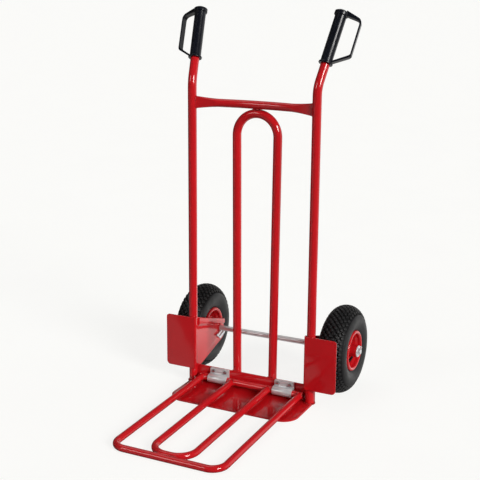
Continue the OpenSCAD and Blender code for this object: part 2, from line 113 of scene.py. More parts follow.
def spread(nodes, link, source, low, high):
    """Maps a noise value to the range low..high."""
    node = nodes.new("ShaderNodeMapRange")
    node.inputs["From Min"].default_value = 0.3
    node.inputs["From Max"].default_value = 0.7
    node.inputs["To Min"].default_value = low
    node.inputs["To Max"].default_value = high
    link(source, node.inputs["Value"])
    return node.outputs["Result"]


def bumps(nodes, link, shader, layers):
    """Stacks bump layers of (height output, depth in metres) on a shader."""
    normal = None
    for height, depth in layers:
        node = nodes.new("ShaderNodeBump")
        node.inputs["Distance"].default_value = depth
        link(height, node.inputs["Height"])
        if normal:
            link(normal, node.inputs["Normal"])
        normal = node.outputs["Normal"]
    link(normal, shader.inputs["Normal"])


def red_paint():
    """Glossy red powder coat: faint orange peel, slow drift of colour and gloss."""
    material, nodes, link, shader = new_material("red_paint")
    drift = noise_node(nodes, link, 7)
    colour = ramp(nodes, link, drift.outputs["Fac"], (
        (0.3, (0.555, 0.0080, 0.0125)), (0.7, (0.605, 0.0098, 0.0150))))
    link(colour, shader.inputs["Base Color"])
    gloss = noise_node(nodes, link, 45, 5)
    link(spread(nodes, link, gloss.outputs["Fac"], 0.07, 0.12), shader.inputs["Roughness"])
    shader.inputs["IOR"].default_value = 1.5
    peel = noise_node(nodes, link, 260, 2)
    bumps(nodes, link, shader, ((peel.outputs["Fac"], 0.00002),))
    return material


def weld_paint():
    """The same red over a weld's ripples, where the coat pools darker."""
    material, nodes, link, shader = new_material("weld_paint")
    drift = noise_node(nodes, link, 160, 5)
    colour = ramp(nodes, link, drift.outputs["Fac"], (
        (0.3, (0.30, 0.0040, 0.0060)), (0.7, (0.56, 0.0085, 0.0130))))
    link(colour, shader.inputs["Base Color"])
    link(spread(nodes, link, drift.outputs["Fac"], 0.22, 0.40), shader.inputs["Roughness"])
    spatter = noise_node(nodes, link, 700, 3)
    bumps(nodes, link, shader, ((spatter.outputs["Fac"], 0.0005),))
    return material


def zinc_plate():
    """Bright zinc plate over pressed steel: cloudy, with fine rolling marks."""
    material, nodes, link, shader = new_material("zinc_plate")
    cloud = noise_node(nodes, link, 55, 5)
    colour = ramp(nodes, link, cloud.outputs["Fac"], (
        (0.30, (0.58, 0.59, 0.61)), (0.55, (0.68, 0.69, 0.71)), (0.8, (0.76, 0.76, 0.76))))
    link(colour, shader.inputs["Base Color"])
    shader.inputs["Metallic"].default_value = 0.4
    marks = noise_node(nodes, link, 500, 4, stretch=(0.15, 1, 1))
    link(spread(nodes, link, marks.outputs["Fac"], 0.28, 0.36), shader.inputs["Roughness"])
    bumps(nodes, link, shader, ((marks.outputs["Fac"], 0.000006), (cloud.outputs["Fac"], 0.00002)))
    return material


def drawn_steel():
    """Bright drawn bar of the axle: smooth, with faint marks along its length."""
    material, nodes, link, shader = new_material("drawn_steel")
    marks = noise_node(nodes, link, 900, 3, stretch=(0.02, 1, 1))
    colour = ramp(nodes, link, marks.outputs["Fac"], (
        (0.3, (0.60, 0.60, 0.61)), (0.7, (0.74, 0.74, 0.75))))
    link(colour, shader.inputs["Base Color"])
    shader.inputs["Metallic"].default_value = 0.6
    link(spread(nodes, link, marks.outputs["Fac"], 0.30, 0.40), shader.inputs["Roughness"])
    bumps(nodes, link, shader, ((marks.outputs["Fac"], 0.000003),))
    return material


def bearing_steel():
    """Ground steel of the bearings, with turning marks."""
    material, nodes, link, shader = new_material("bearing_steel")
    marks = noise_node(nodes, link, 900, 3)
    colour = ramp(nodes, link, marks.outputs["Fac"], (
        (0.3, (0.42, 0.42, 0.43)), (0.7, (0.58, 0.58, 0.59))))
    link(colour, shader.inputs["Base Color"])
    shader.inputs["Metallic"].default_value = 1.0
    link(spread(nodes, link, marks.outputs["Fac"], 0.2, 0.32), shader.inputs["Roughness"])
    return material


def rubber(name, low, high, rough_low, rough_high):
    """Moulded black rubber with a dusty bloom and a fine grain."""
    material, nodes, link, shader = new_material(name)
    bloom = noise_node(nodes, link, 35, 6)
    colour = ramp(nodes, link, bloom.outputs["Fac"], ((0.3, low), (0.7, high)))
    link(colour, shader.inputs["Base Color"])
    link(spread(nodes, link, bloom.outputs["Fac"], rough_low, rough_high), shader.inputs["Roughness"])
    shader.inputs["IOR"].default_value = 1.36
    grain = noise_node(nodes, link, 1400, 4)
    bumps(nodes, link, shader, ((grain.outputs["Fac"], 0.00006), (bloom.outputs["Fac"], 0.0003)))
    return material


def grip_plastic():
    """Black moulded plastic, finely pebbled, with a soft gloss."""
    material, nodes, link, shader = new_material("grip_plastic")
    drift = noise_node(nodes, link, 40, 4)
    colour = ramp(nodes, link, drift.outputs["Fac"], (
        (0.3, (0.0022, 0.0030, 0.0070)), (0.7, (0.0042, 0.0052, 0.0105))))
    link(colour, shader.inputs["Base Color"])
    link(spread(nodes, link, drift.outputs["Fac"], 0.22, 0.30), shader.inputs["Roughness"])
    shader.inputs["IOR"].default_value = 1.4
    pebble = noise_node(nodes, link, 1100, kind="ShaderNodeTexVoronoi")
    bumps(nodes, link, shader, ((pebble.outputs["Distance"], 0.00003),))
    return material


RED = red_paint()
WELD = weld_paint()
ZINC = zinc_plate()
AXLE = drawn_steel()
STEEL = bearing_steel()
TYRE = rubber("tyre_rubber", (0.0060, 0.0060, 0.0068), (0.013, 0.013, 0.0142), 0.42, 0.6)
TUBE = rubber("tube_rubber", (0.012, 0.012, 0.013), (0.022, 0.022, 0.023), 0.4, 0.55)
GRIP = grip_plastic()


# ---------- mesh helpers ----------

def piece(name, bm, material, body, replaces=(), crease=32):
    """Makes a bmesh into a finished piece that rides on a body and stands for CAD nodes."""
    bmesh.ops.recalc_face_normals(bm, faces=bm.faces)
    mesh = bpy.data.meshes.new(name)
    bm.to_mesh(mesh)
    bm.free()
    mesh.materials.append(material)
    made = bpy.data.objects.new(name, mesh)
    bpy.context.scene.collection.objects.link(made)
    shade(made, crease)
    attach(made, body)
    if replaces:
        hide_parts(*replaces)
    return made


def shade(made, crease):
    """Smooth shading with creases past an angle in degrees."""
    made.data.polygons.foreach_set("use_smooth", [True] * len(made.data.polygons))
    made.data.set_sharp_from_angle(angle=radians(crease))


def settle(made, crease=32):
    """Applies a piece's modifiers to its mesh."""
    bpy.context.view_layer.update()
    evaluated = made.evaluated_get(bpy.context.evaluated_depsgraph_get())
    mesh = bpy.data.meshes.new_from_object(evaluated)
    made.modifiers.clear()
    made.data = mesh
    shade(made, crease)


def soften(made, width, segments=3, crease=32):
    """Rounds a piece's edges, as pressed or cut metal has them."""
    bevel = made.modifiers.new("bevel", "BEVEL")
    bevel.width = width
    bevel.segments = segments
    bevel.limit_method = "ANGLE"
    bevel.angle_limit = radians(crease)
    bevel.harden_normals = False
    settle(made, 50)


def combine(made, other, operation):
    """Joins a piece with a bmesh, cuts it with one, or keeps what they share."""
    mesh = bpy.data.meshes.new("other")
    bmesh.ops.recalc_face_normals(other, faces=other.faces)
    other.to_mesh(mesh)
    other.free()
    tool = bpy.data.objects.new("other", mesh)
    bpy.context.scene.collection.objects.link(tool)
    boolean = made.modifiers.new("boolean", "BOOLEAN")
    boolean.operation = operation
    boolean.solver = "EXACT"
    boolean.object = tool
    settle(made)
    bpy.data.objects.remove(tool)


def frames(path, closed=False, first=None):
    """A direction and two cross directions at every point of a path, with no twist."""
    count = len(path)
    result = []
    normal = first
    for i in range(count):
        before = path[i - 1] if i or closed else path[0]
        after = path[(i + 1) % count] if i < count - 1 or closed else path[-1]
        along = (after - before).normalized()
        normal = along.orthogonal() if normal is None else normal
        normal = (normal - along * normal.dot(along)).normalized()
        result.append((along, normal, along.cross(normal)))
    return result


def skin(bm, rings, closed=False, caps=True):
    """Joins rings of points, each of the same count, into a surface."""
    made = [[bm.verts.new(point) for point in ring] for ring in rings]
    sides = len(made[0])
    spans = len(made) if closed else len(made) - 1
    for i in range(spans):
        a, b = made[i], made[(i + 1) % len(made)]
        for j in range(sides):
            k = (j + 1) % sides
            bm.faces.new((a[j], a[k], b[k], b[j]))
    if caps and not closed:
        bm.faces.new(made[0][::-1])
        bm.faces.new(made[-1])


def sweep(bm, path, section, closed=False, first=None):
    """Sweeps section(i), a list of (across, up) offsets, along a path."""
    rings = []
    for i, (_, across, up) in enumerate(frames(path, closed, first)):
        rings.append([path[i] + across * a + up * b for a, b in section(i)])
    skin(bm, rings, closed)


def circle(r, sides):
    """The points of a circle about the origin."""
    return [(r * cos(2 * pi * k / sides), r * sin(2 * pi * k / sides)) for k in range(sides)]


def rounded(corners, steps=6):
    """An outline whose (x, y, radius) corners are rounded."""
    points = []
    for i, (x, y, r) in enumerate(corners):
        here = Vector((x, y))
        back = (Vector(corners[i - 1][:2]) - here).normalized()
        ahead = (Vector(corners[(i + 1) % len(corners)][:2]) - here).normalized()
        half = acos(max(-1.0, min(1.0, back.dot(ahead)))) / 2
        if r <= 0 or half > radians(89.5):
            points.append(here)
            continue
        centre = here + (back + ahead).normalized() * r / sin(half)
        start = here + back * r / tan(half) - centre
        turn = pi - 2 * half
        way = -1 if back.x * ahead.y - back.y * ahead.x > 0 else 1
        for k in range(steps + 1):
            points.append(centre + Matrix.Rotation(way * turn * k / steps, 2) @ start)
    return points


def lathe(bm, outline, centre, axis, across, steps):
    """Turns a closed outline of (radius, distance along axis) about an axis."""
    side = axis.cross(across)
    rings = []
    for k in range(steps):
        t = 2 * pi * k / steps
        out = across * cos(t) + side * sin(t)
        rings.append([centre + out * r + axis * a for r, a in outline])
    skin(bm, rings, closed=True)


def slab(bm, outline, origin, across, up, thickness):
    """Extrudes an outline of (across, up) points by a thickness along across x up."""
    through = across.cross(up) * thickness
    low = [bm.verts.new(origin + across * a + up * b) for a, b in outline]
    high = [bm.verts.new(v.co + through) for v in low]
    bm.faces.new(low[::-1])
    bm.faces.new(high)
    for i in range(len(low)):
        k = (i + 1) % len(low)
        bm.faces.new((low[i], low[k], high[k], high[i]))


def rod(bm, start, end, r, sides=32, chamfer=0.0):
    """A round bar from start to end, its ends chamfered."""
    axis = (end - start).normalized()
    path = [start, start + axis * chamfer, end - axis * chamfer, end] if chamfer else [start, end]
    radii = [r - chamfer, r, r, r - chamfer] if chamfer else [r, r]
    sweep(bm, path, lambda i: circle(radii[i], sides))


# ---------- measures taken from the frame ----------

tube_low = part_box("side_tube_right")[0]
TUBE_R = -tube_low.y
SIDE_X = tube_low.x + TUBE_R
plate_low, plate_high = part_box("toe_plate")
rod_low, rod_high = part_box("toe_rod")
ROD_R = (rod_high.z - rod_low.z) / 2
ROD_AT = (rod_low + rod_high) / 2
loop_low, loop_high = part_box("inner_loop")
LOOP_LEG_X = 57.5 * MM          # centreline of the inner loop's legs at their feet
outer_low, outer_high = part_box("toe_outer_loop")
FOLD_LEG_X = 158.25 * MM        # centreline of the folding toe's outer legs, flush outside with the rod
FOLD_R = (rod_high.x - rod_low.x) / 2 - FOLD_LEG_X
axle_low, axle_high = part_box("axle")
AXLE_R = (axle_high.z - axle_low.z) / 2
AXLE_AT = (axle_low + axle_high) / 2
HANDLE_RAKE = radians(27.8)     # the handles' tilt from upright
HANDLE_SPLAY = radians(14.3)    # how far that tilt turns outwards from straight back
BEND_Z = 899.5 * MM             # where the side tubes bend into the handles
GRIP_START = 68.5 * MM          # from that bend to the grip's foot
GUARD_TURN = radians(64)        # the guards' turn about their grips
PLATE_T = 5 * MM
SHEET_T = 3 * MM
BRACKET_BOSS = 9 * MM           # the CAD bracket's boss round the axle, inside its side plate
BEARING_W = 11 * MM
RIM_BOLT_R = 33 * MM            # bolt circle of the rims
PIN_FROM_END = 4.5 * MM
WASHER_T = 2.5 * MM
HEX_FLAT = 5 * MM
NUT_H = 5 * MM
M6_R = 3 * MM
CLAMP_X = 105 * MM
CLAMP_PITCH = 38 * MM
CLAMP_BOLT_Z = 43 * MM
CLAMP_FRONT = 7 * MM


def mirrored(bm, sign):
    """Reflects a bmesh made for the +X side to the -X side when sign is -1."""
    if sign < 0:
        bmesh.ops.scale(bm, vec=(-1, 1, 1), verts=bm.verts)
        bmesh.ops.reverse_faces(bm, faces=bm.faces)
    return bm


# ---------- crossbar and saddle ----------

def crossbar():
    """A bowed tube, pressed flat and flared where it meets the side tubes."""
    low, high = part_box("crossbar")
    bar_r = 11.5 * MM
    ear_h = high.z - low.z
    ear_t = 9 * MM
    overlap = 2.5 * MM
    flat_len = 7 * MM
    flare_len = 62 * MM
    spread_out = 1.5 * MM
    level = (low.z + high.z) / 2
    bow = high.y - bar_r
    half = SIDE_X - TUBE_R
    arc_r = (half * half + bow * bow) / (2 * bow)
    reach = asin((half + overlap) / arc_r)
    flare = flare_len / arc_r
    flare_start = reach - flat_len / arc_r - flare
    steps = 140
    sides = 72
    path = []
    angles = []
    for k in range(steps + 1):
        t = -1 + 2 * k / steps
        angles.append(reach * sin(t * pi / 2))
        path.append(Vector((arc_r * sin(angles[-1]), bow - arc_r + arc_r * cos(angles[-1]), level)))

    def section(i):
        into = max(0.0, min(1.0, (abs(angles[i]) - flare_start) / flare))
        # the press spreads the tube up and down, and its two jaws leave a flat that narrows to a point
        half_up = bar_r + (ear_h / 2 - bar_r) * (0.45 * into + 0.55 * into * into)
        jaw = bar_r + (ear_t / 2 - bar_r) * into
        points = []
        for k in range(sides):
            t = 2 * pi * k / sides
            out = (bar_r + spread_out * into) * cos(t)
            points.append((max(-jaw, min(jaw, out)), half_up * sin(t)))
        return points

    bm = bmesh.new()
    sweep(bm, path, section, first=Y)
    piece("crossbar_tube", bm, RED, "frame", ("crossbar",))


def saddle():
    """The weld block between the crossbar and the top of the inner loop."""
    low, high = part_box("loop_saddle")
    middle = (low + high) / 2
    half_w = (high.x - low.x) / 2
    half_h = 7 * MM
    half_t = 5 * MM
    taper = 4 * MM
    corner = 2 * MM
    outline = rounded([(-half_w, -half_h, corner), (half_w, -half_h, corner),
                       (half_w - taper, half_h, corner), (-half_w + taper, half_h, corner)], 4)
    bm = bmesh.new()
    slab(bm, outline, middle + Y * half_t, X, Z, 2 * half_t)
    made = piece("saddle_block", bm, WELD, "frame", ("loop_saddle",))
    soften(made, 1.2 * MM)


# ---------- welds ----------

def bead(bm, path, r, closed=False):
    """A weld bead with the scales of its runs."""
    ripple = 2.4 * MM
    walked = [0.0]
    for a, b in zip(path, path[1:]):
        walked.append(walked[-1] + (b - a).length)

    def section(i):
        wave = 1 + 0.10 * cos(2 * pi * walked[i] / ripple) + 0.05 * sin(5.1 * walked[i] / ripple)
        ends = 1.0 if closed else min(1.0, 0.35 + 3 * min(i, len(path) - 1 - i) / len(path))
        return circle(r * wave * ends, 10)

    sweep(bm, path, section, closed)


def ring_path(centre, r, across, side, count=64):
    """Points round a circle in the plane of across and side."""
    angles = [2 * pi * k / count for k in range(count)]
    return [centre + across * r * cos(t) + side * r * sin(t) for t in angles]


def saddle_path(centre, along, out, leg_r, bar_r, count=56):
    """The line where a leg of radius leg_r, running along out, meets a bar that runs along along."""
    up = along.cross(out)
    points = []
    for k in range(count):
        t = 2 * pi * k / count
        a, b = leg_r * cos(t), leg_r * sin(t)
        points.append(centre + along * a + up * b + out * sqrt(max(0.0, bar_r * bar_r - b * b)))
    return points


def frame_welds():
    """Beads that hold the frame's tubes and plates together."""
    bm = bmesh.new()
    bar_low, bar_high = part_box("crossbar")
    level = (bar_low.z + bar_high.z) / 2
    plate_top = plate_low.z + PLATE_T
    proud = 0.3 * MM
    ear_half_t = 4.6 * MM
    ear_half_h = (bar_high.z - bar_low.z) / 2 + proud
    for sign in SIDES.values():
        foot = Vector((sign * SIDE_X, 0, plate_top + 2 * proud))
        bead(bm, ring_path(foot, TUBE_R + 1.2 * MM, X, Y), 2.6 * MM, closed=True)
        ear = []
        for k in range(72):
            t = 2 * pi * k / 72
            y = ear_half_t * cos(t)
            x = sign * (SIDE_X - sqrt(TUBE_R ** 2 - y * y) - proud)
            ear.append(Vector((x, y, level + ear_half_h * sin(t))))
        bead(bm, ear, 1.5 * MM, closed=True)
        crest = Vector((sign * LOOP_LEG_X, plate_high.y - 1.5 * MM, plate_high.z + 2 * proud))
        run = [crest + X * t * MM + Y * 0.02 * t * t * MM for t in range(-10, 11)]
        bead(bm, run, 2.4 * MM)
    loop_y = (loop_low.y + loop_high.y) / 2
    for y in (loop_low.y + 4 * MM, loop_y + 4 * MM):
        top = Vector((0, y, loop_high.z - 0.5 * MM))
        run = [top + X * t * MM - Z * 0.012 * t * t * MM for t in range(-12, 13)]
        bead(bm, run, 2.4 * MM)
    piece("frame_welds", bm, WELD, "frame")


def fold_welds():
    """Beads that hold the folding toe's loops to its rod and to each other."""
    bm = bmesh.new()
    low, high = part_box("toe_inner_loop")
    inner_x = high.x - FOLD_R
    outer_x = outer_high.x - FOLD_R
    slope = atan2(ROD_AT.z - (outer_low.z + FOLD_R), ROD_AT.y - (outer_low.y + FOLD_R))
    out = Vector((0, -cos(slope), -sin(slope)))
    for x in (-outer_x, -inner_x, inner_x, outer_x):
        at = Vector((x, ROD_AT.y, ROD_AT.z))
        bead(bm, saddle_path(at, X, out, FOLD_R + 0.5 * MM, ROD_R + 0.4 * MM), 1.9 * MM, closed=True)
    tip_z = outer_low.z + FOLD_R + 0.3 * MM
    for x in (-24 * MM, 24 * MM):
        for side in (1, -1):
            at = Vector((x, low.y, tip_z + side * 4.6 * MM))
            bead(bm, [at + X * t * MM for t in range(-9, 10)], 3.2 * MM)
    piece("toe_welds", bm, WELD, "folding_toe")


# ---------- toe plate ----------

def toe_plate():
    """One pressed plate: rounded front corners, a bend and an upright flange."""
    half = plate_high.x
    corner_r = 48 * MM
    bend_r = 5.5 * MM
    mid = PLATE_T / 2
    front, back = plate_low.y, plate_high.y - mid
    rows = []
    for k in range(25):
        d = corner_r * (1 - cos(pi / 2 * k / 24))
        rows.append((front + d, mid, half - corner_r + sqrt(max(0.0, corner_r ** 2 - (corner_r - d) ** 2))))
    for k in range(1, 9):
        rows.append((front + corner_r + (back - bend_r - front - corner_r) * k / 8, mid, half))
    for k in range(1, 9):
        t = pi / 2 * k / 8
        rows.append((back - bend_r + bend_r * sin(t), mid + bend_r * (1 - cos(t)), half))
    for k in range(1, 5):
        rows.append((back, mid + bend_r + (plate_high.z - mid - bend_r) * k / 4, half))
    bm = bmesh.new()
    across = 32
    grid = [[bm.verts.new((w * (2 * j / across - 1), y, z)) for j in range(across + 1)] for y, z, w in rows]
    for a, b in zip(grid, grid[1:]):
        for j in range(across):
            bm.faces.new((a[j], a[j + 1], b[j + 1], b[j]))
    made = piece("toe_plate_shell", bm, RED, "frame", ("toe_plate",))
    solid = made.modifiers.new("thickness", "SOLIDIFY")
    solid.thickness = PLATE_T
    solid.offset = 0
    solid.use_even_offset = True
    settle(made)
    soften(made, 0.9 * MM, crease=45)


# ---------- axle brackets ----------

def prism(outline, origin, across, up, depth):
    """An extruded outline as a bmesh of its own."""
    bm = bmesh.new()
    slab(bm, outline, origin, across, up, depth)
    return bm


def bracket(side, sign):
    """One folded plate, made for the +X side: a flat front and the side plate that carries the axle."""
    low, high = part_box(f"axle_bracket_{side}")
    face = min(abs(low.x), abs(high.x)) + BRACKET_BOSS
    outer = max(abs(low.x), abs(high.x))
    front, rear, bottom, top = low.y, high.y, low.z, high.z
    fold_r = 5 * MM
    fold_y = front + fold_r
    foot = plate_high.z + 1.5 * MM
    spare = 9 * MM
    steps = 8
    centre = Vector((face + fold_r, fold_y))
    turns = [pi / 2 * k / steps for k in range(steps + 1)]
    plan = [Vector((outer + MM, front))]
    plan += [centre - Vector((sin(t), cos(t))) * fold_r for t in turns]
    plan += [Vector((face, rear + MM)), Vector((face + SHEET_T, rear + MM))]
    plan += [centre - Vector((sin(t), cos(t))) * (fold_r - SHEET_T) for t in reversed(turns)]
    plan += [Vector((outer + MM, front + SHEET_T))]
    side_shape = rounded([
        (front - spare, bottom, 0), (front - spare, top, 0), (fold_y + 7 * MM, top, 4 * MM),
        (rear, AXLE_AT.z + 18 * MM, 9 * MM), (rear, AXLE_AT.z - 36 * MM, 9 * MM),
        (TUBE_R + 9 * MM, foot, 4 * MM), (fold_y + 5 * MM, foot, 2 * MM), (fold_y, bottom, 0)], 8)
    front_shape = rounded([(face - spare, bottom, 0), (outer, bottom, 12 * MM),
                           (outer, top, 9 * MM), (face - spare, top, 0)], 10)
    bm = prism(plan, Vector((0, 0, bottom - MM)), X, Y, top - bottom + 2 * MM)
    made = piece(f"bracket_{side}", mirrored(bm, sign), RED, "frame", (f"axle_bracket_{side}",))
    keep_side = prism(side_shape, Vector((face - spare, 0, 0)), Y, Z, outer - face + 2 * spare)
    combine(made, mirrored(keep_side, sign), "INTERSECT")
    keep_front = prism(front_shape, Vector((0, rear + spare, 0)), X, Z, rear - front + 2 * spare)
    combine(made, mirrored(keep_front, sign), "INTERSECT")
    at, run, rise = clip_place(face)
    corners = ((-12, 2.6), (9, 2.6), (11, -2.6), (-10, -2.6))
    slot = rounded([(a * MM, b * MM, 2 * MM) for a, b in corners], 5)
    combine(made, mirrored(prism(slot, at - X * spare, run, rise, 2 * spare), sign), "DIFFERENCE")
    soften(made, 0.7 * MM, crease=40)
    bracket_band(side, sign, face, rear, top)
    bracket_clip(side, sign, face, rear)
    bracket_welds(side, sign, face, top)


def bracket_band(side, sign, face, rear, top):
    """The band pressed along the side plate's top, from the fold to above the axle."""
    crest = AXLE_AT.z + 18 * MM
    foot = [(MM, top - 30 * MM), (MM, top - 3 * MM),
            (rear - MM, crest + 6 * MM), (rear - MM, crest - 13 * MM)]
    ridge = [(MM, top - 22 * MM), (MM, top - 4 * MM),
             (rear - 2 * MM, crest + 4 * MM), (rear - 2 * MM, crest - 9 * MM)]
    rings = []
    for corners, height in ((foot, -0.5), (foot, 0.0), (ridge, 5.0)):
        edge = rounded([(y, z, 2 * MM) for y, z in corners], 4)
        rings.append([Vector((face - height * MM, y, z)) for y, z in edge])
    bm = bmesh.new()
    skin(bm, rings)
    made = piece(f"bracket_band_{side}", mirrored(bm, sign), RED, "frame")
    soften(made, 0.9 * MM, crease=35)


def clip_place(face):
    """The middle of the clip under the axle, its long way (rearwards and up) and the way across it."""
    slope = radians(22)
    at = Vector((face, AXLE_AT.y + 2.4 * MM, AXLE_AT.z - 18.7 * MM))
    return at, Vector((0, cos(slope), sin(slope))), Vector((0, -sin(slope), cos(slope)))


def bracket_clip(side, sign, face, rear):
    """A zinc clip with two fingers, open to the rear, just under the axle."""
    at, run, rise = clip_place(face)
    reach = (rear - 3 * MM - at.y) / run.y / MM
    corners = ((-27, 13.5), (-7, 9.4), (11, 9.4), (14, 3.2), (-16, 3.2), (-13, -3.2),
               (min(20, reach), -3.2), (min(27, reach), -13.5), (-10, -13.5))
    clip = rounded([(a * MM, b * MM, 2.2 * MM) for a, b in corners], 5)
    bm = prism(clip, at - X * 5 * MM, run, rise, 5.2 * MM)
    made = piece(f"bracket_clip_{side}", mirrored(bm, sign), ZINC, "frame")
    soften(made, 0.9 * MM, crease=35)


def bracket_welds(side, sign, face, top):
    """Beads round the axle on both faces of the side plate, and three runs along the side tube."""
    bm = bmesh.new()
    sunk = 0.6 * MM
    inside = Vector((face - sunk, AXLE_AT.y, AXLE_AT.z))
    bead(bm, ring_path(inside, AXLE_R + 1.6 * MM, Y, Z), 2 * MM, closed=True)
    outside = Vector((face + SHEET_T + sunk, AXLE_AT.y, AXLE_AT.z))
    bead(bm, ring_path(outside, AXLE_R + 1.2 * MM, Y, Z), 1.6 * MM, closed=True)
    low = plate_high.z + 8 * MM
    for share in (0.25, 0.55, 0.85):
        z = low + (top - 12 * MM - low) * share
        at = Vector((SIDE_X - TUBE_R + 0.2 * MM, TUBE_R * 0.55, z))
        bead(bm, [at + Z * t * MM for t in range(-12, 13)], 2.2 * MM)
    piece(f"bracket_welds_{side}", mirrored(bm, sign), WELD, "frame")


# ---------- wheels ----------

def wheel_place(sign):
    """The centre of a wheel and its outward direction."""
    low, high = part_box("tyre_right" if sign > 0 else "tyre_left")
    return (low + high) / 2, X * sign


def tyre(side, sign):
    """A cross-ply casing with rings on its sidewalls, and a tread moulded round its crown."""
    low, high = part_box(f"tyre_{side}")
    r_tyre = (high.x - low.x) / 2
    r_ring = (high.z - low.z) / 2 - r_tyre
    crown_r = r_tyre - 6 * MM
    tyre_casing(side, sign, r_tyre, r_ring, crown_r)
    tyre_tread(side, sign, r_ring, crown_r)


def tyre_casing(side, sign, r_tyre, r_ring, crown_r):
    """The casing: its crown lies a tread's depth under its sidewalls, and its beads sit in the rim."""
    centre, out = wheel_place(sign)
    side_r = r_tyre - 0.15 * MM
    bead_angle = radians(129.7)
    inner_angle = radians(112)
    shoulder, shoulder_width = 56, 12
    ring_width = 2.2
    wall = 6 * MM
    steps = 60
    outer = []
    for k in range(steps + 1):
        t = bead_angle * (-1 + 2 * k / steps)
        into = max(0.0, min(1.0, (degrees(abs(t)) - shoulder) / shoulder_width))
        r = crown_r + (side_r - crown_r) * into * into * (3 - 2 * into)
        for ring_at, ring_h in ((106, -0.8 * MM), (119, 0.6 * MM)):
            near = (degrees(abs(t)) - ring_at) / ring_width
            r += ring_h * exp(-near * near)
        outer.append((r_ring + r * cos(t), r * sin(t)))
    inner = []
    for k in range(steps // 2 + 1):
        t = inner_angle * (1 - 2 * k / (steps // 2))
        inner.append((r_ring + (r_tyre - wall) * cos(t), (r_tyre - wall) * sin(t)))
    bead_foot = [(r * MM, a * MM) for r, a in (
        (59.8, 31.6), (58.4, 28.0), (54.6, 26.4), (50.4, 21.8), (50.6, 20.2), (56.5, 20.2), (62, 25))]
    outline = outer + bead_foot + inner + [(r, -a) for r, a in reversed(bead_foot)]
    bm = bmesh.new()
    lathe(bm, outline, centre, out, Z, 168)
    piece(f"tyre_casing_{side}", bm, TYRE, f"wheel_{side}", (f"tyre_{side}",), crease=28)


def tyre_tread(side, sign, r_ring, crown_r):
    """Diamond blocks in rows round the crown, every other row half a pitch on."""
    centre, out = wheel_place(sign)
    across = out.cross(Z)
    pitches = 46
    rows = 4
    row_step = radians(12.6)
    gap = 0.28
    shoulder_stretch = 1.35
    half_pitch = pi / pitches
    corners = [(1, 0.20), (0.80, 0.42), (0.22, 0.90), (-0.22, 0.90), (-0.80, 0.42), (-1, 0.20)]
    corners += [(a, -b) for a, b in reversed(corners)]
    bm = bmesh.new()
    for row in range(-rows, rows + 1):
        for k in range(pitches):
            turn = 2 * half_pitch * (k + 0.5 * (row % 2))
            layers = []
            for depth, size in ((-0.7, 1.08), (4.7, 0.90), (5.5, 0.82), (5.85, 0.68)):
                r = crown_r + depth * MM
                ring = []
                for a, b in corners:
                    t = turn + half_pitch * (1 - gap) * size * a
                    slope = row_step * (1 - gap) * size * b
                    if abs(row) == rows and slope * row > 0:
                        slope *= shoulder_stretch
                    f = row * row_step + slope
                    way = Z * cos(t) + across * sin(t)
                    ring.append(centre + way * (r_ring + r * cos(f)) + out * r * sin(f))
                layers.append(ring)
            skin(bm, layers)
    piece(f"tyre_tread_{side}", bm, TYRE, f"wheel_{side}", (f"tyre_{side}",), crease=38)


def rim(side, sign):
    """The two pressed halves of a rim, each with rolled lip, dish, web, bolt holes and round openings."""
    centre, out = wheel_place(sign)
    low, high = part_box(f"hub_{side}")
    bore = (high.z - low.z) / 2 / MM + 0.1
    collar = bore + 2.9
    edge = [
        (bore, 0.1, 0), (43, 0.1, 4), (46.6, 7, 5), (49.2, 21.5, 4), (53.6, 26.7, 3), (57.5, 28.2, 2),
        (59.6, 30.5, 1), (59.6, 39.6, 4.8), (49.8, 39.6, 4.8), (49.2, 29, 3), (46.0, 22, 4), (43.8, 8.6, 4),
        (41, 2.6, 3), (collar + 3, 2.6, 2), (collar, 8, 1), (bore, 8, 0)]
    outline = [(r * MM, a * MM) for r, a in rounded(edge, 5)]
    bolt_hole, opening = 3.25 * MM, 7 * MM
    depth = 9 * MM
    for half, way in (("outer", 1), ("inner", -1)):
        bm = bmesh.new()
        lathe(bm, outline, centre, out * way, Z, 120)
        made = piece(f"rim_{half}_shell_{side}", bm, RED, f"wheel_{side}", (f"rim_{half}_{side}",), crease=40)
        drill = bmesh.new()
        for k in range(4):
            for turn, r in ((k * 90, bolt_hole), (k * 90 + 45, opening)):
                at = centre + Matrix.Rotation(radians(turn), 3, X) @ Y * RIM_BOLT_R
                rod(drill, at - out * depth, at + out * depth, r, 32)
        combine(made, drill, "DIFFERENCE")
        soften(made, 0.45 * MM, 2, crease=42)


# ---------- hubs, washers and pins ----------

def hub(side, sign):
    """A painted hub tube, its ends bored for the bearings and chamfered."""
    centre, out = wheel_place(sign)
    low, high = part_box(f"hub_{side}")
    half = (high.x - low.x) / 2
    r_out = (high.z - low.z) / 2
    low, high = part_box(f"bearings_{side}")
    seat_r = (high.z - low.z) / 2 + 0.05 * MM
    bore = seat_r - 2 * MM
    seat = half - BEARING_W - 0.5 * MM
    edge = [(bore, -seat, 0), (bore, seat, 0), (seat_r, seat, 0), (seat_r, half, 0),
            (r_out, half, 1.2 * MM), (r_out, -half, 1.2 * MM), (seat_r, -half, 0), (seat_r, -seat, 0)]
    bm = bmesh.new()
    lathe(bm, [tuple(point) for point in rounded(edge, 4)], centre, out, Z, 96)
    piece(f"hub_barrel_{side}", bm, RED, f"wheel_{side}", (f"hub_{side}",))


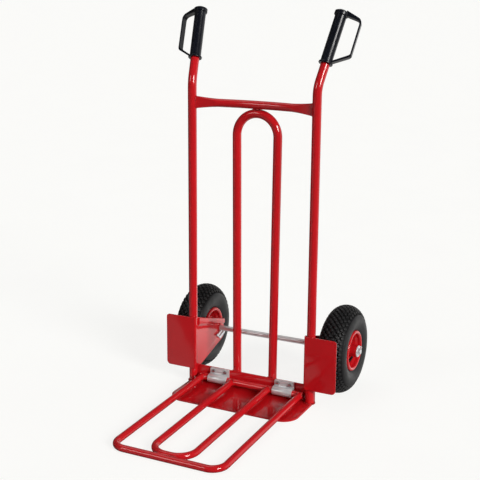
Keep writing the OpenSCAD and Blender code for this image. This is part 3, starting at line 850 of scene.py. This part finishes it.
def washers():
    """The pressed washers outside the hubs, one face rounded by the press."""
    low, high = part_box("axle_washers")
    r = (high.z - low.z) / 2
    bore = AXLE_R + 0.2 * MM
    edge = [(bore, 0, 0.2 * MM), (r, 0, 0.3 * MM), (r, WASHER_T, 1.1 * MM), (bore, WASHER_T, 0.5 * MM)]
    outline = [tuple(point) for point in rounded(edge, 4)]
    bm = bmesh.new()
    for sign in SIDES.values():
        foot = Vector((sign * (high.x - WASHER_T), AXLE_AT.y, AXLE_AT.z))
        lathe(bm, outline, foot, X * sign, Z, 72)
    piece("washer_pair", bm, ZINC, "frame", ("axle_washers",))


def split_pins():
    """A split pin through each end of the axle: eye, shank and two spread legs."""
    pin_x = axle_high.x - PIN_FROM_END
    turn = radians(50)
    way = Vector((0, -sin(turn), -cos(turn)))
    shank_r, eye_r, leg_len = 1.75 * MM, 3.2 * MM, 5 * MM
    eye_at, head, foot = 13.6 * MM, 11 * MM, 9 * MM
    overlap = 0.5 * MM
    bm = bmesh.new()
    for sign in SIDES.values():
        at = Vector((sign * pin_x, AXLE_AT.y, AXLE_AT.z))
        rod(bm, at - way * head, at + way * (foot + overlap), shank_r, 24, 0.3 * MM)
        eye = ring_path(at - way * eye_at, eye_r, way, X, 40)
        sweep(bm, eye, lambda i: circle(1.15 * MM, 12), closed=True)
        for side in (1, -1):
            leg = []
            for k in range(9):
                t = k / 8
                leg.append(at + way * (foot + leg_len * t) + X * side * (0.6 + 2.4 * t * t) * MM)
            sweep(bm, leg, lambda i: circle(0.85 * MM, 12))
    piece("split_pin_pair", bm, ZINC, "frame", ("split_pins",))


# ---------- bolts and nuts ----------

def hexagon(seat, axis, across, height):
    """Rings of an M6 hexagon's outside, from its seat up, with the corners turned away at the top."""
    side = axis.cross(across)
    corner = HEX_FLAT / cos(pi / 6)
    top = 0.95 * HEX_FLAT
    cut = corner - top
    turned = cut * tan(radians(30))
    steps = 48
    rings = []
    for up, reach in ((0, 0.97 * corner), (0.25 * MM, corner), (height - turned, corner),
                      (height - 0.5 * turned, top + 0.5 * cut), (height - 0.2 * turned, top + 0.2 * cut),
                      (height, top)):
        ring = []
        for k in range(steps):
            t = 2 * pi * k / steps
            r = min(HEX_FLAT / cos((t + pi / 6) % (pi / 3) - pi / 6), reach)
            ring.append(seat + axis * up + across * r * cos(t) + side * r * sin(t))
        rings.append(ring)
    return rings


def bolt(bm, seat, axis, across, length):
    """A hexagon bolt: the head stands on its seat along axis, and the shank runs the other way, with
    thread on its last few turns."""
    skin(bm, hexagon(seat, axis, across, 4 * MM))
    pitch = MM
    turns = int(length / pitch)
    path = [seat + axis * 0.2 * MM]
    radii = [M6_R - 0.05 * MM]
    for k in range(2 * turns - 8, 2 * turns - 1):
        path.append(seat - axis * (k * pitch / 2))
        radii.append(M6_R - (0.35 * MM if k % 2 else 0.0))
    path.append(seat - axis * length)
    radii.append(M6_R - 0.7 * MM)
    sweep(bm, path, lambda i: circle(radii[i], 24))


def nut(bm, seat, axis, across, height):
    """A hexagon nut, open through its middle."""
    side = axis.cross(across)
    rings = hexagon(seat, axis, across, height)
    for up in (height, 0):
        rings.append([seat + axis * up + (across * cos(2 * pi * k / 48) + side * sin(2 * pi * k / 48))
                      * (M6_R + 0.1 * MM) for k in range(48)])
    skin(bm, rings, closed=True)


def clamp_fasteners():
    """The bolts that hold the clamps to the flange, heads in front and nuts behind. The heads take the darker
    bearing steel rather than zinc, a painted shade for the shade round them.
    """
    bolts, nuts = bmesh.new(), bmesh.new()
    head_y = CLAMP_FRONT - 0.05 * MM
    flange_back = plate_high.y + 0.05 * MM
    for sign in SIDES.values():
        for offset in (-CLAMP_PITCH / 2, CLAMP_PITCH / 2):
            x = sign * CLAMP_X + offset
            turned = Vector((cos(0.4 + 40 * x), 0, sin(0.4 + 40 * x)))
            bolt(bolts, Vector((x, head_y, CLAMP_BOLT_Z)), -Y, turned, flange_back + 8 * MM - head_y)
            nut(nuts, Vector((x, flange_back, CLAMP_BOLT_Z)), Y, turned, NUT_H)
    # the bolt heads take the darker bearing steel: painted shade standing in for the shade round the heads
    piece("clamp_bolt_set", bolts, STEEL, "frame", ("clamp_bolts",))
    piece("clamp_nut_set", nuts, ZINC, "frame", ("clamp_nuts",))


def rim_fasteners(side, sign):
    """The bolts that hold the two halves of a rim together."""
    centre, out = wheel_place(sign)
    bolts, nuts = bmesh.new(), bmesh.new()
    half_web = 2.65 * MM
    for k in range(4):
        way = Matrix.Rotation(pi / 2 * k, 3, X) @ Y
        at = centre + way * RIM_BOLT_R
        bolt(bolts, at + out * half_web, out, way, 2 * half_web + 8 * MM)
        nut(nuts, at - out * half_web, -out, way, NUT_H)
    piece(f"rim_bolt_set_{side}", bolts, ZINC, f"wheel_{side}", (f"rim_bolts_{side}",))
    piece(f"rim_nut_set_{side}", nuts, ZINC, f"wheel_{side}", (f"rim_nuts_{side}",))


# ---------- hinge clamps ----------

def clamp(side):
    """A strap folded round the rod, with a pressed rib between its two bolts."""
    low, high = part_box(f"hinge_clamp_{side}")
    middle = (low.x + high.x) / 2
    half = (high.x - low.x) / 2
    top, back = high.z, high.y
    bore = ROD_R + 0.05 * MM
    outer = bore + SHEET_T
    strap_t = SHEET_T - 0.15 * MM
    cy, cz = ROD_AT.y, ROD_AT.z

    def arc(y, z, r, start, end, steps):
        turns = [radians(start + (end - start) * k / steps) for k in range(steps + 1)]
        return [(y + r * cos(t), z + r * sin(t)) for t in turns]

    fillet = 3 * MM
    fillet_y = CLAMP_FRONT - fillet
    lean = degrees(acos((fillet_y - cy) / (outer + fillet)))
    fillet_z = cz + (outer + fillet) * sin(radians(lean))
    outline = [(back, top)]
    outline += arc(cy, cz, outer, 0, lean - 360, 60)
    outline += arc(fillet_y, fillet_z, fillet, lean + 180, 360, 8)[1:]
    outline += [(CLAMP_FRONT, top), (CLAMP_FRONT + strap_t, top)]
    outline += arc(cy, cz, bore, 10, 355, 60)
    outline += [(back - strap_t, cz + 1.7 * MM), (back - strap_t, top)]
    bm = prism(outline, Vector((middle - half, 0, 0)), Y, Z, 2 * half)
    made = piece(f"clamp_strap_{side}", bm, ZINC, "frame", (f"hinge_clamp_{side}",))
    spare = 40 * MM
    shape = rounded([(-half, 0, 0), (half, 0, 0), (half, top, 3 * MM), (-half, top, 3 * MM)], 6)
    combine(made, prism(shape, Vector((middle, spare, 0)), X, Z, 2 * spare), "INTERSECT")
    soften(made, 0.5 * MM, 2, crease=40)
    long, wide, corner = 10 * MM, 2.5 * MM, 2.4 * MM
    rib = rounded([(-long, -wide, corner), (long, -wide, corner),
                   (long, wide, corner), (-long, wide, corner)], 6)
    bm = prism(rib, Vector((middle, CLAMP_FRONT + 0.2 * MM, CLAMP_BOLT_Z)), X, Z, 1.2 * MM)
    made = piece(f"clamp_rib_{side}", bm, ZINC, "frame")
    soften(made, 0.8 * MM, 3, crease=35)


# ---------- grips ----------

def grip(side, sign):
    """A moulded sleeve with rounded collars and a domed end, and a knuckle guard from foot to head."""
    yaw = pi / 2 - HANDLE_SPLAY
    along = Vector((cos(yaw) * sin(HANDLE_RAKE), sin(yaw) * sin(HANDLE_RAKE), cos(HANDLE_RAKE)))
    ahead = Vector((cos(yaw) * cos(HANDLE_RAKE), sin(yaw) * cos(HANDLE_RAKE), -sin(HANDLE_RAKE)))
    beside = Vector((-sin(yaw), cos(yaw), 0))
    out = ahead * cos(GUARD_TURN) - beside * sin(GUARD_TURN)
    foot = Vector((SIDE_X, 0, BEND_Z)) + along * GRIP_START
    bm = bmesh.new()
    lathe(bm, sleeve_outline(), foot, along, out, 120)
    made = piece(f"grip_sleeve_{side}", mirrored(bm, sign), GRIP, "frame", (f"grip_{side}",))
    bm = bmesh.new()
    guard_t = 15 * MM
    slab(bm, guard_outline(), foot + along.cross(out) * guard_t / 2, out, along, guard_t)
    sharp = [e for e in bm.edges if e.is_manifold and e.calc_face_angle() > radians(60)]
    bmesh.ops.bevel(bm, geom=sharp, offset=1.5 * MM, segments=4, profile=0.5, affect="EDGES",
                    clamp_overlap=True)
    combine(made, mirrored(bm, sign), "UNION")
    shade(made, 40)


def sleeve_outline():
    """The sleeve's section, as (radius, distance along the grip): two collars and a domed end."""
    bore = TUBE_R + 0.05 * MM
    sleeve, collar = 16 * MM, 19.4 * MM
    head, tip, dome_r = 149 * MM, 157.6 * MM, 27 * MM
    centre_r = 0.02 * MM
    edge = [(bore, 0.2 * MM, 0.5 * MM), (collar, 0.2 * MM, 1.8 * MM), (collar, 5.5 * MM, 1.8 * MM),
            (sleeve, 6.2 * MM, 0.9 * MM), (sleeve, 139.5 * MM, 1.2 * MM), (collar, 140.5 * MM, 1.2 * MM),
            (collar, 150.5 * MM, 1.6 * MM), (16.5 * MM, 152.2 * MM, 0)]
    outline = [tuple(point) for point in rounded(edge, 6)]
    for k in range(11):
        r = sleeve * cos(pi / 2 * k / 10) + centre_r
        outline.append((r, tip - dome_r + sqrt(dome_r * dome_r - r * r)))
    return outline + [(centre_r, head), (bore, head)]


def guard_outline():
    """The knuckle guard's strap, as (outwards, distance along the grip): its outside, then its inside."""
    root = 13.4 * MM
    outer = rounded([(root, 4.5 * MM, 0), (61 * MM, 34.5 * MM, 13 * MM), (60 * MM, 140.5 * MM, 17 * MM),
                     (root, 156.3 * MM, 0)], 10)
    inner = rounded([(root, 10.5 * MM, 0), (56.5 * MM, 39 * MM, 8 * MM), (55.3 * MM, 136 * MM, 12 * MM),
                     (root, 142.5 * MM, 0)], 10)
    return outer + inner[::-1]


# ---------- stage ----------

WALL_R = 60     # metres, inside the reach of a camera left at its defaults


def floor_material():
    """Pale matt floor with the faintest mottling and a little light of its own, like a light table."""
    material, nodes, link, shader = new_material("floor")
    mottle = noise_node(nodes, link, 3, 5)
    colour = ramp(nodes, link, mottle.outputs["Fac"], (
        (0.3, (0.205, 0.205, 0.20)), (0.7, (0.22, 0.22, 0.215))))
    link(colour, shader.inputs["Base Color"])
    shader.inputs["Roughness"].default_value = 0.9
    shader.inputs["Specular IOR Level"].default_value = 0.0
    shader.inputs["Emission Color"].default_value = (1.0, 1.0, 0.985, 1)
    shader.inputs["Emission Strength"].default_value = 0.83
    return material


def studio_light():
    """The studio round the truck, all by direction: a pale backdrop behind, soft boxes overhead and
    in front, a weak one low at the left, and a dim room."""
    world = bpy.data.worlds.new("studio")
    bpy.context.scene.world = world
    world.use_nodes = True
    nodes, link = world.node_tree.nodes, world.node_tree.links.new
    way = nodes.new("ShaderNodeTexCoord").outputs["Generated"]

    def math(kind, a, b):
        node = nodes.new("ShaderNodeMath")
        node.operation = kind
        for socket, value in zip(node.inputs, (a, b)):
            if isinstance(value, float):
                socket.default_value = value
            else:
                link(value, socket)
        return node.outputs["Value"]

    def along(axis):
        node = nodes.new("ShaderNodeVectorMath")
        node.operation = "DOT_PRODUCT"
        link(way, node.inputs[0])
        node.inputs[1].default_value = Vector(axis).normalized()
        return node.outputs["Value"]

    def fade(value, dark, bright, power):
        node = nodes.new("ShaderNodeMapRange")
        node.interpolation_type = "SMOOTHSTEP"
        node.inputs["From Min"].default_value = dark
        node.inputs["From Max"].default_value = bright
        node.inputs["To Max"].default_value = power
        link(value, node.inputs["Value"])
        return node.outputs["Result"]

    height = math("ABSOLUTE", math("SUBTRACT", along(Z), 0.03), 0.0)
    backdrop = math("MULTIPLY", fade(along((0.35, 0.94, 0)), 0.35, 0.7, 0.8), fade(height, 0.45, 0.25, 1.0))
    overhead = fade(along((-0.35, 0.15, 0.92)), cos(radians(24)), cos(radians(10)), 1.2)
    fill = fade(along((-0.47, -0.79, 0.40)), cos(radians(11)), cos(radians(6)), 5.5)
    side_fill = fade(along((-0.66, -0.64, -0.40)), cos(radians(20.5)), cos(radians(18.5)), 0.36)
    room = 0.10
    total = math("ADD", math("ADD", backdrop, overhead), math("ADD", math("ADD", fill, side_fill), room))
    link(total, nodes["Background"].inputs["Strength"])
    nodes["Background"].inputs["Color"].default_value = (1.0, 0.99, 0.97, 1)


def glow_material():
    """The lit patch of floor round the truck, bright behind it and fading all round."""
    material, nodes, link, shader = new_material("lit_patch")
    place = nodes.new("ShaderNodeTexCoord").outputs["Object"]
    length = nodes.new("ShaderNodeVectorMath")
    length.operation = "LENGTH"
    link(place, length.inputs[0])
    fade = nodes.new("ShaderNodeMapRange")
    fade.interpolation_type = "SMOOTHSTEP"
    fade.inputs["From Min"].default_value = 1.10
    fade.inputs["From Max"].default_value = 0.45
    fade.inputs["To Max"].default_value = 0.75
    link(length.outputs["Value"], fade.inputs["Value"])
    nodes.remove(shader)
    glow = nodes.new("ShaderNodeEmission")
    glow.inputs["Color"].default_value = (1.0, 0.99, 0.97, 1)
    link(fade.outputs["Result"], glow.inputs["Strength"])
    clear = nodes.new("ShaderNodeBsdfTransparent")
    both = nodes.new("ShaderNodeAddShader")
    link(glow.outputs[0], both.inputs[0])
    link(clear.outputs[0], both.inputs[1])
    link(both.outputs[0], nodes["Material Output"].inputs["Surface"])
    return material


def stage_piece(name, bm, material):
    """A stage piece from a bmesh: not part of the truck, and casting no shadow."""
    mesh = bpy.data.meshes.new(name)
    bm.to_mesh(mesh)
    bm.free()
    mesh.materials.append(material)
    made = bpy.data.objects.new(name, mesh)
    made.visible_shadow = False
    bpy.context.scene.collection.objects.link(made)
    return made


def disc(name, radius, at, material):
    """A flat round stage piece."""
    bm = bmesh.new()
    bmesh.ops.create_circle(bm, cap_ends=True, segments=96, radius=radius)
    made = stage_piece(name, bm, material)
    made.location = at
    return made


def wall():
    """A far round wall that carries the floor's tone above the horizon."""
    material, nodes, link, shader = new_material("wall")
    mottle = noise_node(nodes, link, 0.02)
    colour = ramp(nodes, link, mottle.outputs["Fac"], (
        (0.3, (0.97, 0.97, 0.955)), (0.7, (0.98, 0.98, 0.965))))
    shader.inputs["Base Color"].default_value = (0, 0, 0, 1)
    shader.inputs["Specular IOR Level"].default_value = 0.0
    shader.inputs["Emission Strength"].default_value = 1.0
    link(colour, shader.inputs["Emission Color"])
    ring = circle(WALL_R, 96)
    bm = bmesh.new()
    skin(bm, [[Vector((x, y, z)) for x, y in ring] for z in (-20, 50)], caps=False)
    return stage_piece("wall", bm, material)


def stage():
    """A pale floor and wall that only the camera sees, the studio's light and one big soft key light."""
    ground = cad_box[0][2] - 0.2 * MM
    floor = disc("floor", WALL_R + 2, (0, 0, ground), floor_material())
    patch = disc("lit_patch", 1.5, (-0.05, 0.85, ground - 0.2 * MM), glow_material())
    patch.visible_camera = False
    for made in (floor, wall()):
        made.visible_diffuse = False
        made.visible_glossy = False
        made.visible_transmission = False
    studio_light()
    data = bpy.data.lights.new("key", "SUN")
    data.energy = 2.75
    data.angle = radians(22)
    data.color = (1.0, 0.985, 0.96)
    key = bpy.data.objects.new("key", data)
    key.rotation_euler = Vector((0.84, -0.40, 0.37)).to_track_quat("Z", "Y").to_euler()
    bpy.context.scene.collection.objects.link(key)


def camera():
    """A longish lens in front of the toe, to the right and above."""
    data = bpy.data.cameras.new("camera")
    data.sensor_width = 36
    data.lens = 76.94
    data.shift_y = -0.0078
    made = bpy.data.objects.new("camera", data)
    round_truck, down, roll = radians(26.24), radians(14.25), radians(0.39)
    turn = Matrix.Rotation(round_truck, 3, "Z") @ Matrix.Rotation(pi / 2 - down, 3, "X")
    turn = turn @ Matrix.Rotation(roll, 3, "Z")
    made.matrix_world = Matrix.Translation((1.2124, -2.5334, 1.1862)) @ turn.to_4x4()
    bpy.context.scene.collection.objects.link(made)
    bpy.context.scene.camera = made


def dress_cad_nodes():
    """Gives every CAD node that stays in view its material."""
    by_slot = {"red_paint": RED, "zinc_plate": ZINC, "bearing_steel": STEEL, "tyre_rubber": TYRE,
               "tube_rubber": TUBE, "grip_plastic": GRIP}
    for part in frame["record"]["subparts"]:
        node = frame["nodes"][part["node"]]
        node.data.materials.clear()
        node.data.materials.append(AXLE if part["node"] == "axle" else by_slot[part["material_slot"]])


camera()
stage()
dress_cad_nodes()
crossbar()
saddle()
frame_welds()
fold_welds()
toe_plate()
for side, sign in SIDES.items():
    bracket(side, sign)
    tyre(side, sign)
    rim(side, sign)
    hub(side, sign)
    rim_fasteners(side, sign)
    clamp(side)
    grip(side, sign)
washers()
split_pins()
clamp_fasteners()

bpy.context.scene.view_settings.view_transform = "Standard"
